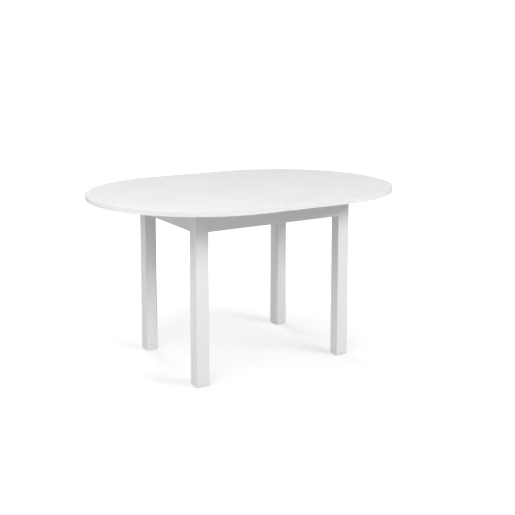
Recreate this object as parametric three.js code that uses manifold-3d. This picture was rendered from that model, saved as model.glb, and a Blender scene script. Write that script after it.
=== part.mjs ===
// An extending dining table with a round-ended top, drawn out and with its leaf in.
// Two top halves slide outwards on hardwood runners, and a loose leaf lies between them.
// Millimetres, +Z up, +X along the table. The origin is on the floor, under the table's middle.
import * as THREE from "three";
import { mergeVertices } from "three/addons/utils/BufferGeometryUtils.js";
import Module from "manifold-3d";

const wasm = await Module();
wasm.setup();

// Driving dimensions
const TABLE_LENGTH = 1400;
const TABLE_WIDTH = 1000;
const TABLE_HEIGHT = 750;
const BOARD = 19; // thickness of the top boards
const LEAF_WIDTH = 300;
const LEFT_SEAM_X = -100; // the leaf lies from here to LEFT_SEAM_X + LEAF_WIDTH
const FRAME_LENGTH = 756; // over the outsides of the legs
const FRAME_WIDTH = 544;
const LEG = 56; // side of the square leg
const APRON_HEIGHT = 99;
const APRON_THICK = 20;

// Gaps
const TOUCH = 0.3; // between pieces that are glued or screwed together
const SLIDE_GAP = 0.35; // around a tongue in its groove
const SEAM_GAP = 0.5; // between two boards that meet at a seam
const TOP_CLEARANCE = 1; // between the frame and the boards that slide over it

// Levels
const BOARD_BOTTOM = TABLE_HEIGHT - BOARD;
const FRAME_TOP = BOARD_BOTTOM - TOP_CLEARANCE;
const APRON_BOTTOM = FRAME_TOP - APRON_HEIGHT;
const HALF_LENGTH = FRAME_LENGTH / 2;
const HALF_WIDTH = FRAME_WIDTH / 2;
const RIGHT_SEAM_X = LEFT_SEAM_X + LEAF_WIDTH;

// Edging
const EDGE_BAND = 2; // round the curved edges
const SEAM_BAND = 0.75; // along the straight seams
const END_RADIUS = TABLE_WIDTH / 2;
const END_CENTRE_X = TABLE_LENGTH / 2 - END_RADIUS;
const ARC_STEPS = 36; // half the chords of a half-round end

// Feet
const GLIDE_RADIUS = 14;
const GLIDE_THICK = 3;
const GLIDE_PIN_RADIUS = 2;
const GLIDE_PIN_LENGTH = 14;

// Corner joints
const LEG_CHAMFER = 8; // on the leg's inner corner, where its bolt goes in
const BRACKET_THICK = 2.5;
const BRACKET_HEIGHT = 40;
const BRACKET_FLANGE = 30;
const BRACKET_CLEAR = 10; // from the leg's inner corner to the bracket, along the diagonal
const BOLT_RADIUS = 4;
const BOLT_IN_LEG = 34;
const BOLT_PAST_BRACKET = 15;
const BOLT_HOLE_RADIUS = 4.4;
const NUT_ACROSS_FLATS = 13;
const NUT_THICK = 6.5;
const BRACKET_BOTTOM = APRON_BOTTOM + 5; // low enough for the stops to pass over when the top closes
const BOLT_Z = BRACKET_BOTTOM + BRACKET_HEIGHT / 2;

// Runners and the guide rails that they run along
const RUNNER_WIDE = 20;
const RUNNER_HIGH = 26;
const RUNNER_FROM = 500; // distance of a runner's outer end from the table's middle
const RUNNER_PAST = 200; // how far it reaches past the middle
const RUNNER_TOP = BOARD_BOTTOM - TOUCH;
const GUIDE_WIDE = 30;
const GUIDE_HIGH = 30;
const GUIDE_Y = 175; // middle of each guide rail
const RUNNER_TO_GUIDE = 2;
const TONGUE_DEEP = 6;
const TONGUE_HIGH = 8;
const TONGUE_Z = FRAME_TOP - 13; // middle of the tongue
const NOTCH_ROOM = 2; // around a runner where it passes through the end apron

// Cross rails and the stops that meet them
const CROSS_RAIL_X = 120;
const CROSS_RAIL_WIDE = 40;
const CROSS_RAIL_HIGH = 30;
const PULL_OUT = 25; // how far each half can be drawn away from the leaf
const STOP_LONG = 30;
const STOP_HIGH = 24;
const STOP_INSET = 1; // from each side of its runner

// Leaf pegs and the plates that keep the seams level
const PEG_RADIUS = 4;
const PEG_IN_LEAF = 12;
const PEG_BELOW_LEAF = 17;
const PEG_HOLE_RADIUS = 4.4;
const PEG_FROM_SEAM = 80;
const PLATE_LONG = 60;
const PLATE_UNDER_LEAF = 20;
const PLATE_WIDE = 30;
const PLATE_THICK = 2;
const PLATE_Y = { left: 400, right: 360 }; // apart, so that the two pairs pass when the top closes

// Sunk screw holes, open below
const SCREW_HOLE_RADIUS = 2.2;
const SINK_RADIUS = 4.6;
const SINK_DEEP = 11;
const RUNNER_SCREW_XS = [470, 300, 130]; // distances from the table's middle

const ROUND = 24; // sides of small round pieces

const finish = (color, roughness, metalness = 0) =>
  new THREE.MeshStandardMaterial({ color, roughness, metalness });
const melamine = finish(0xf1f1ef, 0.42);
const edging = finish(0xefefed, 0.36);
const lacquer = finish(0xf0f0ee, 0.38);
const beech = finish(0xd3ab7c, 0.6);
const zinc = finish(0xb9bcc0, 0.35, 0.9);
const plastic = finish(0xdcdcda, 0.5);

const table = new THREE.Group();

function add(name, geometry, material, x = 0, y = 0, z = 0) {
  const mesh = new THREE.Mesh(geometry, material);
  mesh.name = name;
  mesh.position.set(x, y, z);
  table.add(mesh);
  return mesh;
}

// Joining and cutting

function solid(geometry) {
  const bare = geometry.clone();
  bare.deleteAttribute("normal");
  bare.deleteAttribute("uv");
  const merged = mergeVertices(bare, 1e-4);
  return new wasm.Manifold(
    new wasm.Mesh({
      numProp: 3,
      vertProperties: merged.getAttribute("position").array,
      triVerts: new Uint32Array(merged.index.array),
    }),
  );
}

function geometryOf(made) {
  const { vertProperties, triVerts } = made.getMesh();
  const geometry = new THREE.BufferGeometry();
  geometry.setAttribute("position", new THREE.BufferAttribute(vertProperties, 3));
  geometry.setIndex(new THREE.BufferAttribute(triVerts, 1));
  geometry.computeVertexNormals();
  return geometry;
}

const cut = (body, ...tools) =>
  geometryOf(tools.reduce((left, tool) => left.subtract(solid(tool)), solid(body)));
const join = (...pieces) =>
  geometryOf(pieces.slice(1).reduce((sum, piece) => sum.add(solid(piece)), solid(pieces[0])));

// Basic shapes, placed in the table's frame

function block([x0, x1], [y0, y1], [z0, z1]) {
  const box = new THREE.BoxGeometry(Math.abs(x1 - x0), Math.abs(y1 - y0), Math.abs(z1 - z0));
  return box.translate((x0 + x1) / 2, (y0 + y1) / 2, (z0 + z1) / 2);
}

function upright(radius, x, y, z0, z1) {
  const bar = new THREE.CylinderGeometry(radius, radius, z1 - z0, ROUND);
  return bar.rotateX(Math.PI / 2).translate(x, y, (z0 + z1) / 2);
}

const sunkHole = (x, y, z0, z1) => [
  upright(SINK_RADIUS, x, y, z0 - 1, z0 + SINK_DEEP),
  upright(SCREW_HOLE_RADIUS, x, y, z0, z1 + 1),
];

function slab(shape, z0, z1, curveSegments = ARC_STEPS) {
  const depth = z1 - z0;
  return new THREE.ExtrudeGeometry(shape, { depth, bevelEnabled: false, curveSegments }).translate(0, 0, z0);
}

// A straight piece along X, with the given outline in Y and Z.
function extrusionAlongX(outline, x0, x1) {
  const shape = new THREE.Shape(outline.map(([y, z]) => new THREE.Vector2(y, z)));
  const bar = new THREE.ExtrudeGeometry(shape, { depth: x1 - x0, bevelEnabled: false });
  const axes = new THREE.Matrix4().makeBasis(
    new THREE.Vector3(0, 1, 0),
    new THREE.Vector3(0, 0, 1),
    new THREE.Vector3(1, 0, 0),
  );
  return bar.applyMatrix4(axes).translate(x0, 0, 0);
}

// Corners: u and v run inwards from the frame's outer corner, along X and Y.
const CORNERS = [
  ["front_left", -1, -1],
  ["front_right", 1, -1],
  ["back_left", -1, 1],
  ["back_right", 1, 1],
];
const cornerPoint = (sx, sy, u, v) => new THREE.Vector2(sx * (HALF_LENGTH - u), sy * (HALF_WIDTH - v));
const cornerShape = (sx, sy, outline) =>
  new THREE.Shape(outline.map(([u, v]) => cornerPoint(sx, sy, u, v)));

// A round bar along the corner's diagonal, from one distance to another out of the leg's inner corner.
function diagonalBar(radius, sx, sy, from, to, sides = ROUND) {
  const bar = new THREE.CylinderGeometry(radius, radius, to - from, sides);
  const inwards = new THREE.Vector3(-sx, -sy, 0).normalize();
  const turn = new THREE.Quaternion().setFromUnitVectors(new THREE.Vector3(0, 1, 0), inwards);
  const start = cornerPoint(sx, sy, LEG, LEG);
  const middle = inwards.multiplyScalar((from + to) / 2).add(new THREE.Vector3(start.x, start.y, BOLT_Z));
  return bar.applyQuaternion(turn).translate(middle.x, middle.y, middle.z);
}

function makeLegs() {
  for (const [corner, sx, sy] of CORNERS) {
    const outline = [
      [0, 0],
      [LEG, 0],
      [LEG, LEG - LEG_CHAMFER],
      [LEG - LEG_CHAMFER, LEG],
      [0, LEG],
    ];
    const post = slab(cornerShape(sx, sy, outline), GLIDE_THICK + TOUCH, FRAME_TOP);
    const middle = cornerPoint(sx, sy, LEG / 2, LEG / 2);
    const boltHole = diagonalBar(BOLT_HOLE_RADIUS, sx, sy, -BOLT_IN_LEG - 1, LEG_CHAMFER);
    const pinTop = GLIDE_THICK + GLIDE_PIN_LENGTH + 1;
    const pinHole = upright(GLIDE_PIN_RADIUS + TOUCH, middle.x, middle.y, 0, pinTop);
    add("leg_" + corner, cut(post, boltHole, pinHole), lacquer);

    const disc = upright(GLIDE_RADIUS, middle.x, middle.y, 0, GLIDE_THICK);
    const pin = upright(GLIDE_PIN_RADIUS, middle.x, middle.y, 1, GLIDE_THICK + GLIDE_PIN_LENGTH);
    add("foot_glide_" + corner, join(disc, pin), plastic);
  }
}

// Where the bracket's outer face crosses an apron's inner face, measured from the corner.
const BRACKET_REACH = 2 * LEG + BRACKET_CLEAR * Math.SQRT2 - APRON_THICK;

function makeCornerJoints() {
  const near = APRON_THICK + TOUCH; // the flange lies against the apron
  const far = near + BRACKET_THICK;
  const bend = BRACKET_THICK * Math.SQRT2 - BRACKET_THICK; // keeps the diagonal plate as thick as the flanges
  const flangeEnd = BRACKET_REACH + BRACKET_FLANGE;
  const outline = [
    [BRACKET_REACH, near],
    [flangeEnd, near],
    [flangeEnd, far],
    [BRACKET_REACH + bend, far],
    [far, BRACKET_REACH + bend],
    [far, flangeEnd],
    [near, flangeEnd],
    [near, BRACKET_REACH],
  ];
  const nutFrom = BRACKET_CLEAR + BRACKET_THICK + 2 * TOUCH;
  for (const [corner, sx, sy] of CORNERS) {
    const plate = slab(cornerShape(sx, sy, outline), BRACKET_BOTTOM, BRACKET_BOTTOM + BRACKET_HEIGHT);
    const hole = diagonalBar(BOLT_HOLE_RADIUS, sx, sy, 0, 2 * BOLT_PAST_BRACKET);
    add("corner_bracket_" + corner, cut(plate, hole), zinc);

    const boltEnd = BRACKET_CLEAR + BRACKET_THICK + BOLT_PAST_BRACKET;
    add("leg_bolt_" + corner, diagonalBar(BOLT_RADIUS, sx, sy, -BOLT_IN_LEG, boltEnd), zinc);

    const hexagon = diagonalBar(NUT_ACROSS_FLATS / Math.sqrt(3), sx, sy, nutFrom, nutFrom + NUT_THICK, 6);
    add("leg_nut_" + corner, cut(hexagon, diagonalBar(BOLT_HOLE_RADIUS, sx, sy, 0, 2 * boltEnd)), zinc);
  }
}

// Outline of a runner or of the guide rail, in Y and Z. side is 1 at the back and -1 at the front.
// Left-hand runners go on the guide rail's inner face and right-hand ones on its outer face.
function runnerOutline(side, hand) {
  const toGuide = hand === "left" ? 1 : -1;
  const face = GUIDE_Y - toGuide * (GUIDE_WIDE / 2 + RUNNER_TO_GUIDE);
  const back = face - toGuide * RUNNER_WIDE;
  const tip = face + toGuide * TONGUE_DEEP;
  const low = TONGUE_Z - TONGUE_HIGH / 2;
  const high = TONGUE_Z + TONGUE_HIGH / 2;
  return [
    [back, RUNNER_TOP - RUNNER_HIGH],
    [face, RUNNER_TOP - RUNNER_HIGH],
    [face, low],
    [tip, low],
    [tip, high],
    [face, high],
    [face, RUNNER_TOP],
    [back, RUNNER_TOP],
  ].map(([y, z]) => [side * y, z]);
}

function guideOutline(side) {
  const half = GUIDE_WIDE / 2;
  const depth = TONGUE_DEEP - RUNNER_TO_GUIDE + SLIDE_GAP;
  const low = TONGUE_Z - TONGUE_HIGH / 2 - SLIDE_GAP;
  const high = TONGUE_Z + TONGUE_HIGH / 2 + SLIDE_GAP;
  const groove = (sign) => [
    [sign * half, low],
    [sign * (half - depth), low],
    [sign * (half - depth), high],
    [sign * half, high],
  ];
  return [
    [-half, FRAME_TOP - GUIDE_HIGH],
    [half, FRAME_TOP - GUIDE_HIGH],
    ...groove(1),
    [half, FRAME_TOP],
    [-half, FRAME_TOP],
    ...groove(-1).reverse(),
  ].map(([y, z]) => [side * (GUIDE_Y + y), z]);
}

const SIDES = [
  ["front", -1],
  ["back", 1],
];
const HANDS = [
  ["left", -1],
  ["right", 1],
];

// Span in Y of the runner's body, without its tongue, at the back of the table.
function runnerSpan(hand) {
  const near = GUIDE_Y - GUIDE_WIDE / 2 - RUNNER_TO_GUIDE;
  const far = GUIDE_Y + GUIDE_WIDE / 2 + RUNNER_TO_GUIDE;
  return hand === "left" ? [near - RUNNER_WIDE, near] : [far, far + RUNNER_WIDE];
}

function makeAprons() {
  const level = [APRON_BOTTOM, FRAME_TOP];
  const long = HALF_LENGTH - LEG - TOUCH;
  const short = HALF_WIDTH - LEG - TOUCH;
  for (const [side, sy] of SIDES) {
    const across = [sy * (HALF_WIDTH - APRON_THICK), sy * HALF_WIDTH];
    add("apron_" + side, block([-long, long], across, level), lacquer);
  }
  const notchBottom = RUNNER_TOP - RUNNER_HIGH - NOTCH_ROOM;
  const room = TONGUE_DEEP + NOTCH_ROOM;
  for (const [hand, sx] of HANDS) {
    const across = [sx * (HALF_LENGTH - APRON_THICK), sx * HALF_LENGTH];
    const through = [sx * (HALF_LENGTH - 2 * APRON_THICK), sx * (HALF_LENGTH + APRON_THICK)];
    const [near, far] = runnerSpan(hand);
    const notches = [-1, 1].map((sy) =>
      block(through, [sy * (near - room), sy * (far + room)], [notchBottom, FRAME_TOP + 1]),
    );
    add("apron_" + hand, cut(block(across, [-short, short], level), ...notches), lacquer);
  }
}

const PEG_XS = [LEFT_SEAM_X + PEG_FROM_SEAM, RIGHT_SEAM_X - PEG_FROM_SEAM];

function makeRails() {
  const inside = HALF_LENGTH - APRON_THICK - TOUCH;
  const pegHoleBottom = FRAME_TOP - PEG_BELOW_LEAF - 1;
  for (const [side, sy] of SIDES) {
    const rail = extrusionAlongX(guideOutline(sy), -inside, inside);
    const holes = PEG_XS.map((x) => upright(PEG_HOLE_RADIUS, x, sy * GUIDE_Y, pegHoleBottom, FRAME_TOP + 1));
    add("guide_rail_" + side, cut(rail, ...holes), beech);
  }
  const reach = HALF_WIDTH - APRON_THICK - TOUCH;
  const railTop = FRAME_TOP - GUIDE_HIGH - TOUCH;
  for (const [hand, sx] of HANDS) {
    const x = [sx * CROSS_RAIL_X - CROSS_RAIL_WIDE / 2, sx * CROSS_RAIL_X + CROSS_RAIL_WIDE / 2];
    const level = [railTop - CROSS_RAIL_HIGH, railTop];
    const holes = SIDES.flatMap(([, sy]) => sunkHole(sx * CROSS_RAIL_X, sy * GUIDE_Y, ...level));
    add("cross_rail_" + hand, cut(block(x, [-reach, reach], level), ...holes), beech);
  }
}

function makeRunners() {
  const stopFace = CROSS_RAIL_X + CROSS_RAIL_WIDE / 2 + PULL_OUT + SEAM_GAP;
  const stopTop = RUNNER_TOP - RUNNER_HIGH - TOUCH;
  for (const [hand, sx] of HANDS) {
    const ends = [sx * RUNNER_FROM, -sx * RUNNER_PAST].sort((a, b) => a - b);
    const [near, far] = runnerSpan(hand);
    for (const [side, sy] of SIDES) {
      const y = (sy * (near + far)) / 2;
      const runner = extrusionAlongX(runnerOutline(sy, hand), ...ends);
      const holes = RUNNER_SCREW_XS.flatMap((x) => sunkHole(sx * x, y, RUNNER_TOP - RUNNER_HIGH, RUNNER_TOP));
      add(`${hand}_runner_${side}`, cut(runner, ...holes), beech);
      const level = [stopTop - STOP_HIGH, stopTop];
      const stop = block(
        [-sx * stopFace, -sx * (stopFace + STOP_LONG)],
        [sy * (near + STOP_INSET), sy * (far - STOP_INSET)],
        level,
      );
      const stopHole = sunkHole(-sx * (stopFace + STOP_LONG / 2), y, ...level);
      add(`${hand}_stop_${side}`, cut(stop, ...stopHole), beech);
    }
  }
}

// The whole top's outline: two half-rounds and the straight sides between them.
function topOutline(radius) {
  const shape = new THREE.Shape();
  shape.moveTo(-END_CENTRE_X, -radius);
  shape.lineTo(END_CENTRE_X, -radius);
  shape.absarc(END_CENTRE_X, 0, radius, -Math.PI / 2, Math.PI / 2, false);
  shape.lineTo(-END_CENTRE_X, radius);
  shape.absarc(-END_CENTRE_X, 0, radius, Math.PI / 2, (3 * Math.PI) / 2, false);
  return shape;
}

const BOARD_LEVEL = [BOARD_BOTTOM, TABLE_HEIGHT];
const BOARD_RADIUS = END_RADIUS - EDGE_BAND - TOUCH;

// A thin strip along a seam. towards is the X direction from the board to the seam.
function seamBand(name, seamX, towards) {
  const face = seamX - (towards * SEAM_GAP) / 2;
  add(name, block([face - towards * SEAM_BAND, face], [-END_RADIUS, END_RADIUS], BOARD_LEVEL), edging);
}

// Where the board itself stops, short of the strip on its seam edge.
const boardEdge = (seamX, towards) => seamX - towards * (SEAM_GAP / 2 + SEAM_BAND + TOUCH);

function makeHalves() {
  const seams = { left: LEFT_SEAM_X, right: RIGHT_SEAM_X };
  const [low, high] = [BOARD_BOTTOM - 1, TABLE_HEIGHT + 1];
  for (const [hand, sx] of HANDS) {
    const seam = seams[hand];
    const edge = boardEdge(seam, -sx);
    const rest = block([edge, -sx * TABLE_LENGTH], [-TABLE_WIDTH, TABLE_WIDTH], [low, high]);
    const board = slab(topOutline(BOARD_RADIUS), ...BOARD_LEVEL);
    add("top_panel_" + hand, cut(board, rest), melamine);
    const inside = slab(topOutline(END_RADIUS - EDGE_BAND), low, high);
    add("edge_band_" + hand, cut(slab(topOutline(END_RADIUS), ...BOARD_LEVEL), inside, rest), edging);
    seamBand("seam_band_" + hand, seam, -sx);
    for (const [side, sy] of SIDES) {
      const tip = seam - sx * PLATE_UNDER_LEAF;
      const plate = block(
        [tip, tip + sx * PLATE_LONG],
        [sy * PLATE_Y[hand] - PLATE_WIDE / 2, sy * PLATE_Y[hand] + PLATE_WIDE / 2],
        [RUNNER_TOP - PLATE_THICK, RUNNER_TOP],
      );
      add(`${hand}_seam_plate_${side}`, plate, zinc);
    }
  }
}

function makeLeaf() {
  const span = [boardEdge(LEFT_SEAM_X, -1), boardEdge(RIGHT_SEAM_X, 1)];
  const pegTop = BOARD_BOTTOM + PEG_IN_LEAF;
  const holes = [];
  for (const [side, sy] of SIDES)
    for (const [i, x] of PEG_XS.entries()) {
      const y = sy * GUIDE_Y;
      holes.push(upright(PEG_RADIUS + TOUCH, x, y, BOARD_BOTTOM - 1, pegTop + TOUCH));
      const peg = upright(PEG_RADIUS, x, y, BOARD_BOTTOM - PEG_BELOW_LEAF, pegTop);
      add(`leaf_peg_${side}_${HANDS[i][0]}`, peg, beech);
    }
  add("leaf_panel", cut(block(span, [-BOARD_RADIUS, BOARD_RADIUS], BOARD_LEVEL), ...holes), melamine);
  for (const [side, sy] of SIDES) {
    const depth = [sy * (END_RADIUS - EDGE_BAND), sy * END_RADIUS];
    add("leaf_edge_band_" + side, block(span, depth, BOARD_LEVEL), edging);
  }
  seamBand("leaf_seam_band_left", LEFT_SEAM_X, -1);
  seamBand("leaf_seam_band_right", RIGHT_SEAM_X, 1);
}

makeLegs();
makeCornerJoints();
makeAprons();
makeRails();
makeRunners();
makeHalves();
makeLeaf();

export default table;
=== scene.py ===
"""An extending dining table, drawn out with its leaf in: white boards, square legs, beech runners below."""

import math

import bpy
from mathutils import Matrix, Vector


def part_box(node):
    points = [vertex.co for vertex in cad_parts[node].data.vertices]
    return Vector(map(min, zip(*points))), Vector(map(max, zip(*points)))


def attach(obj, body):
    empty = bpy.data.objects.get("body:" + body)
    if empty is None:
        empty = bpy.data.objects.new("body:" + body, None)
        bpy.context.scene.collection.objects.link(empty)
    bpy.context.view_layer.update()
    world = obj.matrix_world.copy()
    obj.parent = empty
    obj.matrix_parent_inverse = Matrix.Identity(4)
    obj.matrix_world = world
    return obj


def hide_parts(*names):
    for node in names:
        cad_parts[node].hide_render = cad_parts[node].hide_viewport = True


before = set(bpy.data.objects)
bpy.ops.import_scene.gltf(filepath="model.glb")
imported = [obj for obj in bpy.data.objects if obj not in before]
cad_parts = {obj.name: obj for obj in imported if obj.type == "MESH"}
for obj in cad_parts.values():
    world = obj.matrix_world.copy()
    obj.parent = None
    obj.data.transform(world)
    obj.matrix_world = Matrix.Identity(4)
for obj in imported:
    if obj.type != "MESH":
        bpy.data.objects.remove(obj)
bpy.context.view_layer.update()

MM = 0.001
HANDS = {"left": -1, "right": 1}  # the sign of x
SIDES = {"front": -1, "back": 1}  # the sign of y
CORNERS = {"front_left": (-1, -1), "front_right": (1, -1), "back_left": (-1, 1), "back_right": (1, 1)}
DOWN = (0, 0, -1)


# ---------------------------------------------------------------- camera

CAMERA_AT = (-1.794, -2.988, 1.293)  # metres
CAMERA_YAW, CAMERA_PITCH, CAMERA_ROLL = -30.36, -6.52, -0.17  # degrees
CAMERA_LENS = 55.6  # mm
CAMERA_SHIFT = (0.045, -0.20)


def make_camera():
    camera = bpy.data.objects.new("camera", bpy.data.cameras.new("camera"))
    bpy.context.scene.collection.objects.link(camera)
    turn = (
        Matrix.Rotation(math.radians(CAMERA_YAW), 4, "Z")
        @ Matrix.Rotation(math.radians(90 + CAMERA_PITCH), 4, "X")
        @ Matrix.Rotation(math.radians(CAMERA_ROLL), 4, "Z")
    )
    camera.matrix_world = Matrix.Translation(CAMERA_AT) @ turn
    camera.data.lens = CAMERA_LENS
    camera.data.shift_x, camera.data.shift_y = CAMERA_SHIFT
    bpy.context.scene.camera = camera


make_camera()


# ---------------------------------------------------------------- material building blocks


class Maker:
    """Builds one node material. Its textures read object coordinates, in metres, so they stay on a piece."""

    def __init__(self, name, roughness, **constants):
        self.material = bpy.data.materials.new(name)
        self.material.use_nodes = True
        self.tree = self.material.node_tree
        self.shader = self.tree.nodes["Principled BSDF"]
        self.shader.inputs["Roughness"].default_value = roughness
        for socket, value in constants.items():
            self.shader.inputs[socket.replace("_", " ")].default_value = value
        self.place = self.tree.nodes.new("ShaderNodeTexCoord").outputs["Object"]
        self.bumps = None

    def node(self, kind, inputs=(), **settings):
        made = self.tree.nodes.new(kind)
        for key, value in settings.items():
            setattr(made, key, value)
        for key, value in dict(inputs).items():
            if isinstance(value, bpy.types.NodeSocket):
                self.tree.links.new(value, made.inputs[key])
            else:
                made.inputs[key].default_value = value
        return made

    def noise(self, cells, detail, rough, distortion=0.0):
        """Noise with so many cells in a metre: one number, or one for each axis."""
        per_axis = cells if isinstance(cells, tuple) else (cells,) * 3
        place = self.node("ShaderNodeMapping", {"Vector": self.place, "Scale": per_axis}).outputs[0]
        inputs = {
            "Vector": place, "Scale": 1.0,
            "Detail": detail, "Roughness": rough, "Distortion": distortion,
        }
        return self.node("ShaderNodeTexNoise", inputs).outputs["Fac"]

    def levels(self, value, low, high, to_low=0.0, to_high=1.0):
        """Turns values from low to high into values from to_low to to_high, easing in and out."""
        inputs = {"Value": value, "From Min": low, "From Max": high, "To Min": to_low, "To Max": to_high}
        return self.node("ShaderNodeMapRange", inputs, interpolation_type="SMOOTHSTEP").outputs[0]

    def math(self, operation, a, b):
        return self.node("ShaderNodeMath", {0: a, 1: b}, operation=operation).outputs[0]

    def mix(self, amount, a, b):
        """From colour a to colour b. Either is a socket or an (r, g, b)."""
        colours = [c if isinstance(c, bpy.types.NodeSocket) else (*c, 1.0) for c in (a, b)]
        inputs = {0: amount, 6: colours[0], 7: colours[1]}
        return self.node("ShaderNodeMix", inputs, data_type="RGBA").outputs[2]

    def bump(self, height, depth):
        """Adds relief on top of what is there. depth is in metres."""
        inputs = {"Height": height, "Distance": depth, "Strength": 1.0}
        if self.bumps:
            inputs["Normal"] = self.bumps
        self.bumps = self.node("ShaderNodeBump", inputs).outputs[0]
        self.tree.links.new(self.bumps, self.shader.inputs["Normal"])

    def use(self, socket, value):
        self.tree.links.new(value, self.shader.inputs[socket])


# ---------------------------------------------------------------- materials

# Colours are linear RGB. A pair is the darkest and the lightest tone of a surface.
BOARD_WHITES = (0.785, 0.785, 0.78), (0.815, 0.815, 0.81)
BOARD_SPECK = (0.72, 0.72, 0.715)
LACQUER_WHITES = (0.795, 0.795, 0.79), (0.83, 0.83, 0.825)
LACQUER_PORE = (0.66, 0.655, 0.64)
BEECH_BANDS = (0.60, 0.385, 0.205), (0.74, 0.52, 0.31)
BEECH_FIBRE = (0.55, 0.33, 0.165)
BEECH_FLECK = (0.36, 0.185, 0.085)
BEECH_SAWN = (0.42, 0.25, 0.125), (0.56, 0.36, 0.2)
ZINC_GREYS = (0.60, 0.61, 0.63), (0.76, 0.77, 0.78)
ZINC_DULL = (0.70, 0.66, 0.54)
GLIDE_WHITES = (0.70, 0.70, 0.69), (0.78, 0.78, 0.77)
GRIME = (0.36, 0.35, 0.33)
GRIME_HEIGHT = 2.5 * MM


def melamine():
    """White melamine: a fine pearl texture, faint clouding and a few rubbed patches."""
    m = Maker("white_melamine", 0.55, Specular_IOR_Level=0.3)
    cloud = m.noise(7, 4, 0.6)
    speck = m.noise(1400, 2, 0.6)
    colour = m.mix(m.levels(cloud, 0.3, 0.7), *BOARD_WHITES)
    m.use("Base Color", m.mix(m.levels(speck, 0.6, 0.75, 0.0, 0.5), colour, BOARD_SPECK))
    rubbed = m.noise((22, 5, 22), 5, 0.65, 0.6)
    m.use("Roughness", m.levels(rubbed, 0.35, 0.7, 0.48, 0.60))
    m.bump(m.noise(620, 3, 0.55), 0.09 * MM)
    m.bump(m.noise(95, 2, 0.5), 0.06 * MM)
    return m.material


def edging():
    """White plastic edging: smoother than the boards, with faint scraper marks along the edge."""
    m = Maker("white_edging", 0.42, Specular_IOR_Level=0.45)
    m.use("Base Color", m.mix(m.levels(m.noise(12, 4, 0.6), 0.3, 0.7), *BOARD_WHITES))
    scraped = m.noise((8, 8, 1500), 3, 0.6)
    m.use("Roughness", m.levels(scraped, 0.3, 0.7, 0.38, 0.50))
    m.bump(scraped, 0.01 * MM)
    m.bump(m.noise(160, 2, 0.5), 0.03 * MM)
    return m.material


def lacquer(name, grain):
    """White lacquer on wood: orange peel, and pores that show through a little. grain is an axis."""
    m = Maker(name, 0.38, Specular_IOR_Level=0.5, Coat_Weight=0.12, Coat_Roughness=0.3)
    along = tuple(6 if axis == grain else 160 for axis in "xyz")
    finer = tuple(30 if axis == grain else 1100 for axis in "xyz")
    fibre = m.noise(along, 4, 0.6, 0.4)
    pores = m.levels(m.noise(finer, 3, 0.6), 0.56, 0.72)
    colour = m.mix(m.levels(fibre, 0.3, 0.72), *LACQUER_WHITES)
    m.use("Base Color", m.mix(m.math("MULTIPLY", pores, 0.12), colour, LACQUER_PORE))
    m.use("Roughness", m.levels(m.noise(38, 4, 0.6), 0.3, 0.7, 0.33, 0.46))
    m.bump(m.math("SUBTRACT", fibre, m.math("MULTIPLY", pores, 0.35)), 0.12 * MM)
    m.bump(m.noise(330, 2, 0.5), 0.05 * MM)
    return m.material


def beech(name, grain):
    """Oiled beech: growth bands, fine fibres and short dark flecks, with sawn ends. grain is an axis."""
    m = Maker(name, 0.55, Specular_IOR_Level=0.35)

    def along(lengthwise, across):
        return tuple(lengthwise if axis == grain else across for axis in "xyz")

    bands = m.noise(along(1.6, 42), 4, 0.55, 0.8)
    fibres = m.noise(along(22, 1300), 4, 0.65)
    flecks = m.levels(m.noise(along(210, 1500), 2, 0.5), 0.60, 0.68)
    colour = m.mix(m.levels(bands, 0.32, 0.68), *BEECH_BANDS)
    colour = m.mix(m.levels(fibres, 0.3, 0.75, 0.0, 0.45), colour, BEECH_FIBRE)
    colour = m.mix(m.math("MULTIPLY", flecks, 0.55), colour, BEECH_FLECK)
    normal = m.node("ShaderNodeSeparateXYZ", {0: m.node("ShaderNodeTexCoord").outputs["Normal"]})
    facing = m.math("ABSOLUTE", normal.outputs["xyz".index(grain)], 0.0)
    end = m.levels(facing, 0.7, 0.9)
    sawn = m.mix(m.levels(m.noise(900, 3, 0.6), 0.35, 0.65), *BEECH_SAWN)
    m.use("Base Color", m.mix(end, colour, sawn))
    m.use("Roughness", m.levels(m.noise(along(14, 260), 4, 0.6), 0.3, 0.7, 0.46, 0.64))
    m.bump(fibres, 0.14 * MM)
    m.bump(m.math("SUBTRACT", 1.0, flecks), 0.08 * MM)
    return m.material


def zinc():
    """Bright zinc plating: a mottled sheen, rolling marks and a few dull patches."""
    m = Maker("zinc_plating", 0.32, Metallic=1.0)
    mottle = m.noise(130, 5, 0.65, 0.8)
    colour = m.mix(m.levels(mottle, 0.35, 0.65), *ZINC_GREYS)
    dull = m.levels(m.noise(28, 3, 0.6), 0.5, 0.75, 0.0, 0.4)
    m.use("Base Color", m.mix(dull, colour, ZINC_DULL))
    m.use("Roughness", m.levels(m.noise((2200, 60, 60), 3, 0.6), 0.3, 0.7, 0.24, 0.42))
    m.bump(mottle, 0.05 * MM)
    return m.material


def glide_plastic():
    """Moulded polyethylene: waxy, scuffed and a little grey near the floor."""
    m = Maker("glide_plastic", 0.5, Specular_IOR_Level=0.4, Subsurface_Weight=0.05)
    height = m.node("ShaderNodeSeparateXYZ", {0: m.place}).outputs["Z"]
    near_floor = m.levels(height, 0.0, GRIME_HEIGHT, 1.0, 0.0)
    grime = m.math("MULTIPLY", near_floor, m.levels(m.noise(300, 4, 0.7), 0.35, 0.7))
    colour = m.mix(m.levels(m.noise(90, 3, 0.6), 0.3, 0.7), *GLIDE_WHITES)
    m.use("Base Color", m.mix(m.math("MULTIPLY", grime, 0.6), colour, GRIME))
    m.use("Roughness", m.levels(grime, 0.0, 1.0, 0.42, 0.72))
    m.bump(m.noise(900, 3, 0.6), 0.08 * MM)
    return m.material


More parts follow.
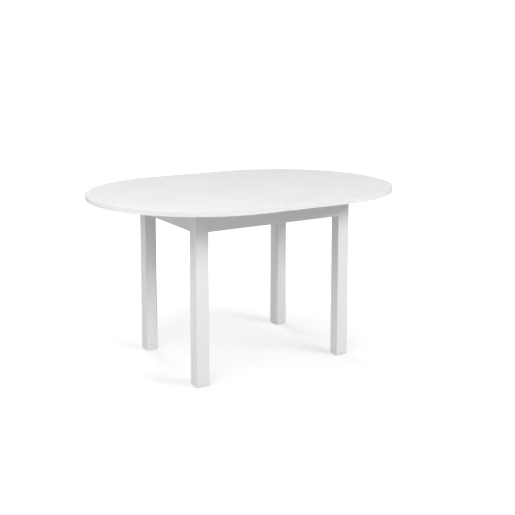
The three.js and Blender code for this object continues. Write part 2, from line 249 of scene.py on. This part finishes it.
MELAMINE, EDGING, ZINC, GLIDE = melamine(), edging(), zinc(), glide_plastic()
LACQUER = {axis: lacquer("white_lacquer_" + axis, axis) for axis in "xyz"}
BEECH = {axis: beech("beech_" + axis, axis) for axis in "xyz"}


# ---------------------------------------------------------------- CAD pieces that stay


SHARP_ANGLE = math.radians(30)
JOIN_WITHIN = 0.02 * MM


def soften_group():
    """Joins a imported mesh's split corners and shades it smooth, so that a bevel can round its edges."""
    group = bpy.data.node_groups.new("soften", "GeometryNodeTree")
    group.interface.new_socket("Geometry", in_out="INPUT", socket_type="NodeSocketGeometry")
    group.interface.new_socket("Geometry", in_out="OUTPUT", socket_type="NodeSocketGeometry")
    kinds = "NodeGroupInput", "GeometryNodeMergeByDistance", "GeometryNodeSetShadeSmooth", "NodeGroupOutput"
    start, merge, smooth, end = [group.nodes.new(kind) for kind in kinds]
    merge.inputs["Distance"].default_value = JOIN_WITHIN
    for before, after in ((start, merge), (merge, smooth), (smooth, end)):
        group.links.new(before.outputs[0], after.inputs[0])
    return group


SOFTEN = soften_group()


def round_edges(obj, width, segments):
    obj.modifiers.new("soften", "NODES").node_group = SOFTEN
    bevel = obj.modifiers.new("rounded_edges", "BEVEL")
    bevel.width, bevel.segments = width, segments
    bevel.limit_method, bevel.angle_limit = "ANGLE", SHARP_ANGLE
    bevel.use_clamp_overlap = True
    obj.modifiers.new("even_shading", "WEIGHTED_NORMAL")


def dress(node, material, edge, segments=3):
    """Gives a CAD piece its material, and edges rounded to the radius edge."""
    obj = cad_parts[node]
    obj.data.materials.clear()
    obj.data.materials.append(material)
    round_edges(obj, edge, segments)


def dress_frame():
    for corner in CORNERS:
        dress("leg_" + corner, LACQUER["z"], 0.7 * MM)
        dress("corner_bracket_" + corner, ZINC, 0.5 * MM, 2)
    for side in SIDES:
        dress("apron_" + side, LACQUER["x"], 0.5 * MM)
        dress("guide_rail_" + side, BEECH["x"], 0.6 * MM, 2)
    for hand in HANDS:
        dress("apron_" + hand, LACQUER["y"], 0.5 * MM)
        dress("cross_rail_" + hand, BEECH["y"], 1.5 * MM)


def dress_top():
    dress("leaf_panel", MELAMINE, 0.15 * MM, 1)
    for hand in HANDS:
        dress("top_panel_" + hand, MELAMINE, 0.15 * MM, 1)
        dress("seam_band_" + hand, EDGING, 0.12 * MM, 1)
        dress("leaf_seam_band_" + hand, EDGING, 0.12 * MM, 1)
        for side in SIDES:
            dress(f"{hand}_runner_{side}", BEECH["x"], 0.8 * MM)
            dress(f"{hand}_stop_{side}", BEECH["x"], 1.2 * MM)
            dress(f"{hand}_seam_plate_{side}", ZINC, 0.4 * MM, 2)


dress_frame()
dress_top()


# ---------------------------------------------------------------- building new pieces


def new_piece(name, points, faces, material, body):
    """A smooth-shaded object, sharp at its corners, that moves with a body."""
    mesh = bpy.data.meshes.new(name)
    mesh.from_pydata([tuple(p) for p in points], [], faces)
    mesh.validate()
    mesh.polygons.foreach_set("use_smooth", [True] * len(mesh.polygons))
    mesh.set_sharp_from_angle(angle=SHARP_ANGLE)
    mesh.materials.append(material)
    obj = bpy.data.objects.new(name, mesh)
    bpy.context.scene.collection.objects.link(obj)
    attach(obj, body)
    return obj


def sweep(rings):
    """Points and faces of a closed solid through rings of equally many points, with a cap at each end."""
    n = len(rings[0])
    points = [p for ring in rings for p in ring]
    faces = [tuple(reversed(range(n)))]
    for i in range(len(rings) - 1):
        for j in range(n):
            a, b = i * n + j, i * n + (j + 1) % n
            faces.append((a, b, b + n, a + n))
    faces.append(tuple(range((len(rings) - 1) * n, len(rings) * n)))
    return points, faces


def turned(profile, sides):
    """A solid turned about Z. profile lists (radius, z) up its outside. A radius may be a function of the
    angle and z."""
    rings = []
    for radius, z in profile:
        ring = []
        for k in range(sides):
            angle = 2 * math.pi * k / sides
            r = radius(angle, z) if callable(radius) else radius
            ring.append(Vector((r * math.cos(angle), r * math.sin(angle), z)))
        rings.append(ring)
    return sweep(rings)


def ring_solid(outer, inner, sides):
    """A ring about Z: outer lists (radius, z) up its outside and inner lists them down its inside."""
    points, faces = turned(outer + inner, sides)
    faces = faces[1:-1]  # without the caps: the last ring joins the first instead
    last = len(points) - sides
    for k in range(sides):
        following = (k + 1) % sides
        faces.append((last + k, last + following, following, k))
    return points, faces


def placed(solid, matrix):
    """A solid moved by a matrix."""
    points, faces = solid
    return [matrix @ p for p in points], faces


def together(solids):
    """Several solids as one mesh."""
    points, faces = [], []
    for some_points, some_faces in solids:
        start = len(points)
        points += some_points
        faces += [tuple(start + i for i in face) for face in some_faces]
    return points, faces


def aim(at, direction):
    """The matrix that takes a piece made along +Z to a point, with its Z along direction."""
    return Matrix.Translation(at) @ Vector(direction).to_track_quat("Z", "Y").to_matrix().to_4x4()


def middle(node):
    low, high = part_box(node)
    return (low + high) / 2


# ---------------------------------------------------------------- edging round the top

HALF_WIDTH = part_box("edge_band_left")[1].y  # of the whole top, and so the radius of its round ends
GLUE_LINE = 0.03 * MM
BAND_THICK = HALF_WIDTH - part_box("top_panel_left")[1].y - GLUE_LINE
BAND_ROUND = 0.8 * MM  # radius of the band's outer corners
ROUND_STEPS = 4
ARC_STEPS = 128


def band_section(bottom, top):
    """The band's section as (distance in from the outside, z), with its two outer corners rounded."""
    section = [(BAND_THICK, bottom)]
    for centre, start in ((bottom + BAND_ROUND, 270), (top - BAND_ROUND, 180)):
        for i in range(ROUND_STEPS + 1):
            angle = math.radians(start - i * 90 / ROUND_STEPS)
            section.append((BAND_ROUND * (1 + math.cos(angle)), centre + BAND_ROUND * math.sin(angle)))
    section.append((BAND_THICK, top))
    return section


def swept_band(name, path, node, body):
    """path lists (x, y, outward direction), anticlockwise from above. The band lies just inside it."""
    low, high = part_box(node)
    section = band_section(low.z, high.z)
    rings = []
    for x, y, (nx, ny) in reversed(path):  # the other way round, the faces would point in
        rings.append([Vector((x - nx * away, y - ny * away, z)) for away, z in section])
    points, faces = sweep(rings)
    obj = new_piece(name, points, faces, EDGING, body)
    obj.modifiers.new("even_shading", "WEIGHTED_NORMAL")
    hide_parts(node)


def half_path(hand, node):
    """Round one half's end, from seam to seam."""
    sign = HANDS[hand]
    low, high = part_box(node)
    tip, seam = (high.x, low.x) if sign > 0 else (-low.x, high.x)
    centre = tip - HALF_WIDTH
    straight = centre - seam * sign  # length of the straight stretch, or below 0 where the arc is cut short
    start = math.pi / 2 if straight >= 0 else math.acos(-straight / HALF_WIDTH)
    path = []
    for i in range(ARC_STEPS + 1):
        angle = -start + 2 * start * i / ARC_STEPS
        out = (sign * math.cos(angle), math.sin(angle))
        path.append((sign * centre + HALF_WIDTH * out[0], HALF_WIDTH * out[1], out))
    if straight > 0:
        path = [(seam, -HALF_WIDTH, (0, -1))] + path + [(seam, HALF_WIDTH, (0, 1))]
    return path if sign > 0 else path[::-1]


def leaf_path(sign, node):
    """Along the leaf's front or back end."""
    low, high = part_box(node)
    ends = (low.x, high.x) if sign < 0 else (high.x, low.x)
    return [(x, sign * HALF_WIDTH, (0, sign)) for x in ends]


for hand in HANDS:
    node = "edge_band_" + hand
    swept_band("top_edging_" + hand, half_path(hand, node), node, hand + "_half")
for side, sign in SIDES.items():
    node = "leaf_edge_band_" + side
    swept_band("leaf_edging_" + side, leaf_path(sign, node), node, "leaf")


# ---------------------------------------------------------------- feet

# Profiles list (radius, z) in mm.
GLIDE_FOOT = [(3.9, 1.0), (4.6, 1.0), (5.0, 0.0), (12.4, 0.0), (13.4, 0.35), (14.0, 1.1), (14.0, 2.2)]
GLIDE_TOP = [(13.6, 2.8), (12.9, 3.0), (2.0, 3.0), (2.0, 16.0), (0.8, 17.0)]
NAIL_HEAD = [(3.0, 0.45), (3.5, 0.6), (3.6, 0.9), (1.5, 1.4)]


def in_mm(profile):
    """A profile's millimetres as metres."""
    return [(radius * MM, z * MM) for radius, z in profile]


def make_foot(corner):
    """A dished glide with a pin up into the leg, and the head of the nail in its middle."""
    node = "foot_glide_" + corner
    centre = middle(node)
    at = Matrix.Translation((centre.x, centre.y, 0))
    rim = turned(in_mm(GLIDE_FOOT + GLIDE_TOP), 48)
    glide = new_piece("glide_" + corner, *placed(rim, at), GLIDE, "frame")
    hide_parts(node)
    head = turned(in_mm(NAIL_HEAD), 24)
    nail = new_piece("glide_nail_" + corner, *placed(head, at), ZINC, "frame")


# ---------------------------------------------------------------- leg bolts and nuts

THREAD_PITCH = 1.25 * MM
THREAD_DEPTH = 0.55 * MM
THREAD_START = 0.42  # as a share of the bolt's length
THREAD_STEPS = 6  # rings to one turn of the thread
SHANK, NOSE = 0.9, 0.5  # radius of the plain part and of its blunt end, as shares of the thread's
BOLT_NOSE = 3 * MM  # length of the taper at the blunt end
BOLT_TIP = 0.8 * MM  # and of the one at the threaded end
THREAD_RUN_IN = 0.5 * MM

NUT_THICK = 6.5 * MM
NUT_FLAT = 6.5 * MM  # from the middle to a flat
NUT_EDGE = 0.5 * MM  # height of its chamfers
NUT_CHAMFER = NUT_FLAT * 1.02  # radius that the corners are taken down to on both faces
NUT_BORE, NUT_MOUTH = 4.15 * MM, 4.6 * MM  # radius of the hole, inside and at both faces
WASHER_THICK = 1.3 * MM
WASHER_OUTSIDE = [(7.6, 0), (8.0, 0.2), (8.0, 1.05), (7.8, 1.25)]  # (radius, z) in mm
WASHER_HOLE = [(4.3, 1.25), (4.3, 0)]


def make_leg_bolt(corner):
    """The bolt points out of the leg, with a thread on its outer part. Its length comes from its box, which
    it crosses on the diagonal."""
    sx, sy = CORNERS[corner]
    node = "leg_bolt_" + corner
    low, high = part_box(node)
    crest = (high.z - low.z) / 2
    length = (high.x - low.x) * math.sqrt(2) - 2 * crest
    thread_from = length * THREAD_START

    def thread(angle, z):
        turn = (z / THREAD_PITCH - angle / (2 * math.pi)) % 1
        return crest - THREAD_DEPTH * (1 - abs(2 * turn - 1))

    rings = THREAD_STEPS * round((length - thread_from) / THREAD_PITCH)
    rise = (length - thread_from - BOLT_TIP) / rings
    profile = [(crest * NOSE, 0), (crest * SHANK, BOLT_NOSE), (crest * SHANK, thread_from - THREAD_RUN_IN)]
    profile += [(thread, thread_from + i * rise) for i in range(rings + 1)]
    profile.append((crest - 2 * THREAD_DEPTH, length))
    start = middle(node) + Vector((sx, sy, 0)).normalized() * length / 2
    solid = placed(turned(profile, 24), aim(start, (-sx, -sy, 0)))
    bolt = new_piece("threaded_bolt_" + corner, *solid, ZINC, "frame")
    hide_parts(node)


def hexagon(limit=math.inf):
    """Radius of the nut's outline at each angle, but never over the limit."""
    sixth = math.pi / 3

    def radius(angle, z):
        return min(NUT_FLAT / math.cos((angle + sixth / 2) % sixth - sixth / 2), limit)

    return radius


def make_leg_nut(corner):
    """A hexagon nut with its corners taken off, and a washer under it."""
    sx, sy = CORNERS[corner]
    node = "leg_nut_" + corner
    bottom, top = WASHER_THICK, NUT_THICK
    sides = [(hexagon(NUT_CHAMFER), bottom), (hexagon(), bottom + NUT_EDGE)]
    sides += [(hexagon(), top - NUT_EDGE), (hexagon(NUT_CHAMFER), top)]
    bore = [(NUT_MOUTH, top), (NUT_BORE, top - NUT_EDGE)]
    bore += [(NUT_BORE, bottom + NUT_EDGE), (NUT_MOUTH, bottom)]
    washer = ring_solid(in_mm(WASHER_OUTSIDE), in_mm(WASHER_HOLE), 72)
    both = together([ring_solid(sides, bore, 72), washer])
    start = middle(node) + Vector((sx, sy, 0)).normalized() * NUT_THICK / 2
    nut = new_piece("nut_and_washer_" + corner, *placed(both, aim(start, (-sx, -sy, 0))), ZINC, "frame")
    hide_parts(node)


# ---------------------------------------------------------------- screws

RECESS_MOUTH, RECESS_FLOOR = (0.55, 0.55), (0.35, 0.36)  # half width in mm, reach as a share of the head
RECESS_DEPTH = 1.4  # mm
FIRST_TURN, NEXT_TURN = 37, 53  # degrees: no two screws in a row stop at the same turn

FLANGE_SCREW_IN = 15 * MM  # from the end of the bracket's flange
FLANGE_SCREW_RISE = 13 * MM  # above and below the bracket's middle
FLANGE_THICK = 2.5 * MM
RUNNER_SCREW_XS = (470 * MM, 300 * MM, 130 * MM)
RUNNER_SCREW_IN = 10 * MM  # from the runner's plain side, which is the one without the tongue
PLATE_SCREWS_IN = (9 * MM, 27 * MM)  # from the plate's outer end
SINK = 11 * MM  # from the underside of the wood up to the face that the head bears on


def cross_recess(half_width, reach):
    """Radius of a cross-shaped outline at each angle."""
    quarter = math.pi / 2

    def radius(angle, z):
        a = abs((angle + quarter / 2) % quarter - quarter / 2)
        return min(reach / math.cos(a), half_width / max(math.sin(a), 1e-6))

    return radius


def screw(head=4.0, height=2.2, shank=1.9, length=8.0):
    """A pan-head screw with a cross recess, from sizes in mm. Its head sits on the origin and faces +Z."""
    stem = [(shank * 0.6, -length), (shank, -length + 1), (shank, 0)]
    dome = [(head, 0.02), (head, height * 0.4), (head * 0.9, height * 0.75), (head * 0.7, height * 0.95)]
    profile = in_mm(stem + dome)
    for (half_width, reach), z in ((RECESS_MOUTH, height), (RECESS_FLOOR, height - RECESS_DEPTH)):
        profile.append((cross_recess(half_width * MM, head * reach * MM), z * MM))
    return turned(profile, 64)


def screws(name, places, body, **sizes):
    """places lists (point under the head, direction the head faces)."""
    solid = screw(**sizes)
    copies = []
    for i, (at, direction) in enumerate(places):
        spin = Matrix.Rotation(math.radians(FIRST_TURN + NEXT_TURN * i), 4, "Z")
        copies.append(placed(solid, aim(at, direction) @ spin))
    obj = new_piece(name, *together(copies), ZINC, body)


def make_bracket_screws(corner):
    """Two screws through each flange of the bracket, into the aprons that meet at the corner."""
    sx, sy = CORNERS[corner]
    low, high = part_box("corner_bracket_" + corner)
    inner_x, outer_x = (high.x, low.x) if sx < 0 else (low.x, high.x)
    inner_y, outer_y = (high.y, low.y) if sy < 0 else (low.y, high.y)
    places = []
    for rise in (-FLANGE_SCREW_RISE, FLANGE_SCREW_RISE):
        z = (low.z + high.z) / 2 + rise
        along_x = (inner_x + sx * FLANGE_SCREW_IN, outer_y - sy * FLANGE_THICK, z)
        along_y = (outer_x - sx * FLANGE_THICK, inner_y + sy * FLANGE_SCREW_IN, z)
        places += [(along_x, (0, -sy, 0)), (along_y, (-sx, 0, 0))]
    screws("bracket_screws_" + corner, places, "frame")


def make_half_screws(hand):
    """Screws up through the runners, the stops and the seam plates of one half."""
    sign = HANDS[hand]
    sunk, plates = [], []
    for side, sy in SIDES.items():
        low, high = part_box(f"{hand}_runner_{side}")
        inner, outer = sorted((low.y, high.y), key=abs)
        y = inner + sy * RUNNER_SCREW_IN if hand == "left" else outer - sy * RUNNER_SCREW_IN
        sunk += [((sign * x, y, low.z + SINK), DOWN) for x in RUNNER_SCREW_XS]
        low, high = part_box(f"{hand}_stop_{side}")
        sunk.append((((low.x + high.x) / 2, (low.y + high.y) / 2, low.z + SINK), DOWN))
        low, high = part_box(f"{hand}_seam_plate_{side}")
        end = high.x if sign > 0 else low.x
        plates += [((end - sign * d, (low.y + high.y) / 2, low.z), DOWN) for d in PLATE_SCREWS_IN]
    screws(f"sunk_screws_{hand}", sunk, hand + "_half")
    screws(f"plate_screws_{hand}", plates, hand + "_half", head=3.6, height=1.9)


def make_rail_screws():
    """One up through each crossing of a cross rail and a guide rail."""
    places = []
    for hand in HANDS:
        low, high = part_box("cross_rail_" + hand)
        for side in SIDES:
            y = middle("guide_rail_" + side).y
            places.append((((low.x + high.x) / 2, y, low.z + SINK), DOWN))
    screws("rail_screws", places, "frame")


# ---------------------------------------------------------------- pegs

PEG_FLUTES = 14
FLUTE_DEPTH = 0.22 * MM
PEG_CHAMFER = 1.2 * MM


def make_peg(side, hand):
    """A fluted beech dowel with chamfered ends."""
    node = f"leaf_peg_{side}_{hand}"
    low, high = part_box(node)
    full = (high.x - low.x) / 2

    def fluted(angle, z):
        return full - FLUTE_DEPTH * max(0.0, math.cos(PEG_FLUTES * angle))

    end = full - PEG_CHAMFER
    profile = [(end, low.z), (fluted, low.z + PEG_CHAMFER), (fluted, high.z - PEG_CHAMFER), (end, high.z)]
    centre = middle(node)
    at = Matrix.Translation((centre.x, centre.y, 0))
    solid = placed(turned(profile, 8 * PEG_FLUTES), at)
    peg = new_piece(f"fluted_peg_{side}_{hand}", *solid, BEECH["z"], "leaf")
    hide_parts(node)


for corner in CORNERS:
    make_foot(corner)
    make_leg_bolt(corner)
    make_leg_nut(corner)
    make_bracket_screws(corner)
for hand in HANDS:
    make_half_screws(hand)
    for side in SIDES:
        make_peg(side, hand)
make_rail_screws()


# ---------------------------------------------------------------- floor and light


FLOOR_SIZE = 60
FLOOR_DROP = 0.4 * MM  # below the feet
FLOOR_ALBEDO = 0.45
FLOOR_GLOW = (0.50, 0.95)  # added for the camera only: by the table, and far from it
FADE = (0.35, 1.5)  # metres from the middle over which the glow changes
SKY_LIGHT = 0.40  # strength of the white sky as a light
SKY_SEEN = 1.0  # and as the camera sees it


def choose(tree, amount, a, b):
    """Shader a where the amount is 0, and b where it is 1."""
    mix = tree.nodes.new("ShaderNodeMixShader")
    for socket, source in zip(mix.inputs, (amount, a, b)):
        tree.links.new(source, socket)
    return mix.outputs[0]


def make_floor():
    """A pale floor that is clear from below, so that the table's underside can be looked at."""
    bpy.ops.mesh.primitive_plane_add(size=FLOOR_SIZE)
    floor = bpy.context.object
    floor.name = "studio_floor"
    floor.location.z = -FLOOR_DROP
    m = Maker("pale_floor", 0.9)
    tree = m.tree
    away = m.node("ShaderNodeVectorMath", {0: m.place}, operation="LENGTH").outputs["Value"]
    glow = m.node("ShaderNodeEmission", {"Strength": m.levels(away, *FADE, *FLOOR_GLOW)})
    matt = m.node("ShaderNodeBsdfDiffuse", {"Color": (FLOOR_ALBEDO,) * 3 + (1,)}).outputs[0]
    both = m.node("ShaderNodeAddShader", {0: matt, 1: glow.outputs[0]}).outputs[0]
    seen = m.node("ShaderNodeLightPath").outputs["Is Camera Ray"]
    above = choose(tree, seen, matt, both)
    clear = m.node("ShaderNodeBsdfTransparent").outputs[0]
    below = m.node("ShaderNodeNewGeometry").outputs["Backfacing"]
    tree.links.new(choose(tree, below, above, clear), tree.nodes["Material Output"].inputs["Surface"])
    tree.nodes.remove(m.shader)
    floor.data.materials.append(m.material)


def make_world():
    """A white sky that is plain white to the camera and a softer light to everything else."""
    world = bpy.data.worlds.new("studio")
    bpy.context.scene.world = world
    world.use_nodes = True
    tree = world.node_tree
    soft = tree.nodes["Background"]
    white = tree.nodes.new("ShaderNodeBackground")
    for background, strength in ((soft, SKY_LIGHT), (white, SKY_SEEN)):
        background.inputs["Color"].default_value = (1, 1, 1, 1)
        background.inputs["Strength"].default_value = strength
    seen = tree.nodes.new("ShaderNodeLightPath").outputs["Is Camera Ray"]
    sky = choose(tree, seen, soft.outputs[0], white.outputs[0])
    tree.links.new(sky, tree.nodes["World Output"].inputs["Surface"])


# name: (degrees round from the front towards the right, degrees up, metres away, width, height, watts)
LIGHTS = {
    "key_right": (35, 30, 4.5, 2.2, 1.4, 116),
    "front_left": (-50, 30, 4.5, 2.2, 1.4, 29),
    "near_left": (-60, 42, 2.4, 1.4, 1.0, 13),
    "floor_left": (-85, 4, 4.5, 3.0, 0.5, 17),
    "floor_front_left": (-50, 5, 4.5, 3.0, 0.5, 15),
    "back": (180, 30, 4.5, 2.2, 1.4, 80),
    "back_left": (-125, 30, 4.0, 2.2, 1.4, 17),
}
AIM = Vector((0, 0, 0.4))  # what the lights face


def make_lights():
    for name, (around, up, distance, width, height, watts) in LIGHTS.items():
        a, e = math.radians(around), math.radians(up)
        away = Vector((math.sin(a) * math.cos(e), -math.cos(a) * math.cos(e), math.sin(e)))
        data = bpy.data.lights.new(name, "AREA")
        data.shape, data.size, data.size_y, data.energy = "RECTANGLE", width, height, watts
        light = bpy.data.objects.new(name, data)
        light.location = AIM + away * distance
        light.rotation_euler = away.to_track_quat("Z", "Y").to_euler()
        light.visible_camera = False
        light.visible_glossy = False  # or the top, seen from the far side, is one white glare
        bpy.context.scene.collection.objects.link(light)


make_floor()
make_world()
make_lights()
bpy.context.scene.view_settings.view_transform = "Standard"
